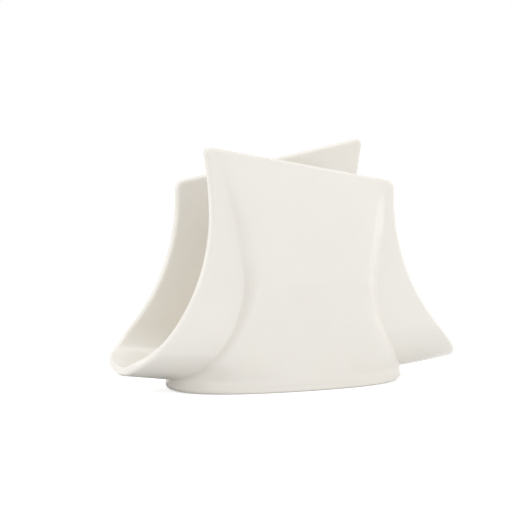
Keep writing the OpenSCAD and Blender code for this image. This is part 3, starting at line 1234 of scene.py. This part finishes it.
@dataclass(frozen=True)
class Glaze:
    """Glossy ivory glaze over white porcelain."""

    name: str = "ivory_glaze"
    colour: tuple[float, float, float] = (0.920, 0.891, 0.836)
    thick: tuple[float, float, float] = (0.905, 0.872, 0.806)
    # Colour of the painted shade along the creases
    painted_shade: tuple[float, float, float] = (0.848, 0.814, 0.750)
    roughness: tuple[float, float] = (0.03, 0.05)
    ior: float = 1.5
    # Patches of noise to the metre, and how far each noise is broken up
    patches: float = 55.0
    patch_detail: float = 2.0
    grains: float = 1600.0
    ripples: float = 90.0
    fine_detail: float = 1.0
    # Part of a noise's range that is spread out
    noise_span: tuple[float, float] = (0.3, 0.7)
    grain_share: float = 0.5
    # Depth of the ripples in metres
    ripple_depth: float = 0.00006

    def shader(self, material: bpy.types.Material) -> tuple[bpy.types.NodeTree, bpy.types.Node]:
        """Empties a material's node tree and gives it a Principled shader.

        Args:
            material: the material.

        Returns:
            The node tree and the shader.
        """
        material.use_nodes = True
        tree = material.node_tree
        tree.nodes.clear()
        shader = tree.nodes.new("ShaderNodeBsdfPrincipled")
        output = tree.nodes.new("ShaderNodeOutputMaterial")
        tree.links.new(shader.outputs["BSDF"], output.inputs["Surface"])
        shader.inputs["IOR"].default_value = self.ior
        return tree, shader

    def noise(self, tree: bpy.types.NodeTree, scale: float, detail: float) -> bpy.types.Node:
        """Adds noise on the piece's own coordinates.

        Args:
            tree: the node tree.
            scale: patches to the metre.
            detail: how far it is broken up.

        Returns:
            The noise node.
        """
        place_node = tree.nodes.new("ShaderNodeTexCoord")
        noise = tree.nodes.new("ShaderNodeTexNoise")
        noise.inputs["Scale"].default_value = scale
        noise.inputs["Detail"].default_value = detail
        tree.links.new(place_node.outputs["Object"], noise.inputs["Vector"])
        return noise

    def ramp(
        self, tree: bpy.types.NodeTree, source: bpy.types.NodeSocket, low: float, high: float
    ) -> bpy.types.Node:
        """Spreads the middle of a noise's range over a range of its own.

        Args:
            tree: the node tree.
            source: the noise.
            low: where the range starts.
            high: where it ends.

        Returns:
            The node that spreads it.
        """
        spread = tree.nodes.new("ShaderNodeMapRange")
        spread.inputs["From Min"].default_value = self.noise_span[0]
        spread.inputs["From Max"].default_value = self.noise_span[1]
        spread.inputs["To Min"].default_value = low
        spread.inputs["To Max"].default_value = high
        tree.links.new(source, spread.inputs["Value"])
        return spread

    def material(self) -> bpy.types.Material:
        """Makes the glaze: slow changes of tone, gloss and level, and painted shade, a deeper tone,
        along the creases.

        Returns:
            The material.
        """
        material = bpy.data.materials.new(self.name)
        tree, shader = self.shader(material)
        patches = self.noise(tree, self.patches, self.patch_detail)
        tone = tree.nodes.new("ShaderNodeMix")
        tone.data_type = "RGBA"
        tone.inputs["A"].default_value = (*self.colour, 1.0)
        tone.inputs["B"].default_value = (*self.thick, 1.0)
        amount = tree.nodes.new("ShaderNodeMath")
        amount.operation = "ADD"
        grain = self.noise(tree, self.grains, self.fine_detail)
        parts = ((patches, 1 - self.grain_share), (grain, self.grain_share))
        for k, (source, share) in enumerate(parts):
            spread = self.ramp(tree, source.outputs["Fac"], 0.0, share)
            tree.links.new(spread.outputs["Result"], amount.inputs[k])
        tree.links.new(amount.outputs["Value"], tone.inputs["Factor"])
        # Painted shade: a deeper tone along the creases, read from the crease_shade attribute
        depth = tree.nodes.new("ShaderNodeAttribute")
        depth.attribute_name = Note.POOL.value[0]
        run = tree.nodes.new("ShaderNodeMix")
        run.data_type = "RGBA"
        run.inputs["B"].default_value = (*self.painted_shade, 1.0)
        tree.links.new(depth.outputs["Fac"], run.inputs["Factor"])
        tree.links.new(tone.outputs["Result"], run.inputs["A"])
        tree.links.new(run.outputs["Result"], shader.inputs["Base Color"])
        gloss = self.ramp(tree, patches.outputs["Fac"], *self.roughness)
        tree.links.new(gloss.outputs["Result"], shader.inputs["Roughness"])
        ripples = self.noise(tree, self.ripples, self.fine_detail)
        bump = tree.nodes.new("ShaderNodeBump")
        bump.inputs["Strength"].default_value = 1.0
        bump.inputs["Distance"].default_value = self.ripple_depth
        tree.links.new(ripples.outputs["Fac"], bump.inputs["Height"])
        tree.links.new(bump.outputs["Normal"], shader.inputs["Normal"])
        return material


@dataclass(frozen=True)
class FootGlaze(Glaze):
    """The same glaze, wiped off under the foot down to bare porcelain."""

    name: str = "foot_glaze"
    bare: tuple[float, float, float] = (0.80, 0.77, 0.71)
    bare_roughness: float = 0.55
    # Heights in metres between which the glaze begins
    bare_height: tuple[float, float] = (0.0003, 0.0007)

    def material(self) -> bpy.types.Material:
        """Makes the glaze and mixes bare porcelain into it by height.

        Returns:
            The material.
        """
        material = super().material()
        tree = material.node_tree
        shader = next(node for node in tree.nodes if node.type == "BSDF_PRINCIPLED")
        place_node = tree.nodes.new("ShaderNodeTexCoord")
        height = tree.nodes.new("ShaderNodeSeparateXYZ")
        tree.links.new(place_node.outputs["Object"], height.inputs["Vector"])
        glazed = tree.nodes.new("ShaderNodeMapRange")
        glazed.inputs["From Min"].default_value = self.bare_height[0]
        glazed.inputs["From Max"].default_value = self.bare_height[1]
        tree.links.new(height.outputs["Z"], glazed.inputs["Value"])
        for name, kind, bare in (
            ("Base Color", "RGBA", (*self.bare, 1.0)),
            ("Roughness", "FLOAT", self.bare_roughness),
        ):
            mix = tree.nodes.new("ShaderNodeMix")
            mix.data_type = kind
            mix.inputs["A"].default_value = bare
            tree.links.new(shader.inputs[name].links[0].from_socket, mix.inputs["B"])
            tree.links.new(glazed.outputs["Result"], mix.inputs["Factor"])
            tree.links.new(mix.outputs["Result"], shader.inputs[name])
        return material


def add_plane(name: str, size: float) -> bpy.types.Object:
    """Adds a level square at the origin.

    Args:
        name: name of the object and its mesh.
        size: length of its sides in metres.

    Returns:
        The square.
    """
    bpy.ops.object.select_all(action="DESELECT")
    bpy.ops.mesh.primitive_plane_add(size=size)
    plane = bpy.context.active_object
    plane.name = plane.data.name = name
    return plane


def matt(
    name: str, colour: tuple[float, float, float]
) -> tuple[bpy.types.Material, bpy.types.Node, bpy.types.Node]:
    """Makes a matt material of one colour.

    Args:
        name: name of the material.
        colour: its colour.

    Returns:
        The material, its shader and the output that this is linked to.
    """
    material = bpy.data.materials.new(name)
    material.use_nodes = True
    tree = material.node_tree
    tree.nodes.clear()
    diffuse = tree.nodes.new("ShaderNodeBsdfDiffuse")
    diffuse.inputs["Color"].default_value = (*colour, 1.0)
    output = tree.nodes.new("ShaderNodeOutputMaterial")
    tree.links.new(diffuse.outputs["BSDF"], output.inputs["Surface"])
    return material, diffuse, output


@dataclass(frozen=True)
class Softbox:
    """A soft rectangular lamp: its place and the size of its face in metres, its power in watts."""

    name: str
    place: tuple[float, float, float]
    face: tuple[float, float]
    power: float

    def build(self) -> None:
        """Adds the lamp and turns it to face the holder."""
        data = bpy.data.lights.new(self.name, "AREA")
        data.shape = "RECTANGLE"
        data.size, data.size_y = self.face
        data.energy = self.power
        lamp = bpy.data.objects.new(self.name, data)
        bpy.context.scene.collection.objects.link(lamp)
        lamp.location = self.place
        aim = Vector(HOLDER_MIDDLE) - Vector(self.place)
        lamp.rotation_euler = aim.to_track_quat("-Z", "Y").to_euler()


@dataclass(frozen=True)
class ShadeCard:
    """A level grey sheet just above the floor, which only the glaze's reflections show: painted shade
    of the floor beneath the lip, in reflection.

    The places are in metres: where the card begins and ends along X and Y, and how high it lies.
    """

    name: str
    grey: float
    along: tuple[float, float]
    across: tuple[float, float]
    height: float

    def build(self) -> None:
        """Adds the sheet of painted shade as a plane laid on its corners, hidden from all but
        reflections.
        """
        card = add_plane(self.name, 1.0)
        places = [(x, y, self.height) for y in self.across for x in self.along]
        for vertex, corner in zip(card.data.vertices, places):
            vertex.co = corner
        card.data.materials.append(matt(self.name, (self.grey, self.grey, self.grey))[0])
        card.visible_camera = card.visible_diffuse = card.visible_shadow = False


@dataclass(frozen=True)
class Studio:
    """Plain pale floor, soft lamps, a grey sheet of painted shade seen only in reflections, and a white
    surround.
    """

    floor_size: float = 3.6
    floor_colour: tuple[float, float, float] = (0.80, 0.80, 0.80)
    floor_lift: float = 0.6
    surround: float = 0.61
    softboxes: tuple[Softbox, ...] = (
        Softbox("key_box", (0.42, -0.93, 0.35), (1.6, 0.7), 2.1),
        Softbox("left_box", (-0.95, 0.05, 0.3), (0.8, 0.6), 2.5),
        Softbox("right_box", (0.95, -0.25, 0.3), (1.0, 0.6), 1.8),
        Softbox("top_box", (0.0, 0.0, 1.1), (1.0, 0.7), 3.3),
    )
    # Grey sheet under the left lip: painted shade of the floor there, seen only in the glaze's
    # reflections
    shade_cards: tuple[ShadeCard, ...] = (
        ShadeCard("lip_shade_card", 0.45, along=(-0.035, -0.078), across=(0.02, -0.03), height=0.0007),
    )

    def floor(self) -> None:
        """Adds the floor, whose camera side is lifted to white and keeps the holder's shadow."""
        plane = add_plane("studio_floor", self.floor_size)
        material, diffuse, output = matt("studio_floor", self.floor_colour)
        tree = material.node_tree
        glow = tree.nodes.new("ShaderNodeEmission")
        lift = tree.nodes.new("ShaderNodeMath")
        lift.operation = "MULTIPLY"
        lift.inputs[1].default_value = self.floor_lift
        tree.links.new(self.seen(tree), lift.inputs[0])
        tree.links.new(lift.outputs["Value"], glow.inputs["Strength"])
        both = tree.nodes.new("ShaderNodeAddShader")
        tree.links.new(diffuse.outputs["BSDF"], both.inputs[0])
        tree.links.new(glow.outputs["Emission"], both.inputs[1])
        tree.links.new(both.outputs["Shader"], output.inputs["Surface"])
        plane.data.materials.append(material)

    def seen(self, tree: bpy.types.NodeTree) -> bpy.types.NodeSocket:
        """Tells the rays that show a thing from those that light the holder.

        Args:
            tree: the node tree.

        Returns:
            1 for camera, glossy and transmission rays, and 0 for the others.
        """
        path = tree.nodes.new("ShaderNodeLightPath")
        total = path.outputs["Is Camera Ray"]
        for kind in ("Is Glossy Ray", "Is Transmission Ray"):
            either = tree.nodes.new("ShaderNodeMath")
            either.operation = "ADD"
            either.use_clamp = True
            tree.links.new(total, either.inputs[0])
            tree.links.new(path.outputs[kind], either.inputs[1])
            total = either.outputs["Value"]
        return total

    def world(self) -> None:
        """Surrounds the set: white where it is seen, and softer where it lights."""
        world = bpy.data.worlds.new("studio_surround")
        bpy.context.scene.world = world
        world.use_nodes = True
        tree = world.node_tree
        tree.nodes.clear()
        back = tree.nodes.new("ShaderNodeBackground")
        back.inputs["Color"].default_value = (1.0, 1.0, 1.0, 1.0)
        level = tree.nodes.new("ShaderNodeMapRange")
        level.inputs["To Min"].default_value = self.surround
        level.inputs["To Max"].default_value = 1.0
        tree.links.new(self.seen(tree), level.inputs["Value"])
        tree.links.new(level.outputs["Result"], back.inputs["Strength"])
        output = tree.nodes.new("ShaderNodeOutputWorld")
        tree.links.new(back.outputs["Background"], output.inputs["Surface"])

    def build(self) -> None:
        """Sets up the floor, the surround, the lamps and the sheet of painted shade."""
        self.floor()
        self.world()
        for thing in self.softboxes + self.shade_cards:
            thing.build()
        bpy.context.scene.view_settings.view_transform = "Standard"


@dataclass(frozen=True)
class Viewpoint:
    """Where the photograph was taken from: angles in degrees, distances in metres."""

    azimuth: float = 24.88
    elevation: float = 5.69
    distance: float = 1.1
    centre: tuple[float, float, float] = HOLDER_MIDDLE
    # Focal length, width of the frame and place of the centre in it, in the photograph's pixels
    focal_px: float = 2665.1
    image_px: float = 512.0
    centre_px: tuple[float, float] = (284.4, 263.5)
    # Width of the sensor in millimetres
    sensor: float = 36.0
    clip: tuple[float, float] = (0.05, 50.0)

    def build(self) -> None:
        """Adds the camera and makes it the scene's own."""
        az, el = math.radians(self.azimuth), math.radians(self.elevation)
        away = Vector((-math.sin(az) * math.cos(el), -math.cos(az) * math.cos(el), math.sin(el)))
        right = Vector((math.cos(az), -math.sin(az), 0.0))
        up = right.cross(-away)
        half = self.image_px / 2
        aim = -away - right * (self.centre_px[0] - half) / self.focal_px
        aim += up * (self.centre_px[1] - half) / self.focal_px
        data = bpy.data.cameras.new("photo_camera")
        data.sensor_width = self.sensor
        data.lens = self.focal_px / self.image_px * self.sensor
        data.clip_start, data.clip_end = self.clip
        camera = bpy.data.objects.new("photo_camera", data)
        bpy.context.scene.collection.objects.link(camera)
        camera.location = Vector(self.centre) + away * self.distance
        camera.rotation_euler = aim.to_track_quat("-Z", "Y").to_euler()
        bpy.context.scene.camera = camera


def main() -> None:
    """Builds the holder piece by piece, then the studio and the camera."""
    logging.basicConfig(level=logging.INFO, format="%(name)s: %(message)s")
    glaze = Glaze().material()
    Walls().build(glaze)
    Channel().build(glaze)
    Pedestal().build(glaze, FootGlaze().material())
    Studio().build()
    Viewpoint().build()


if __name__ == "__main__":
    main()
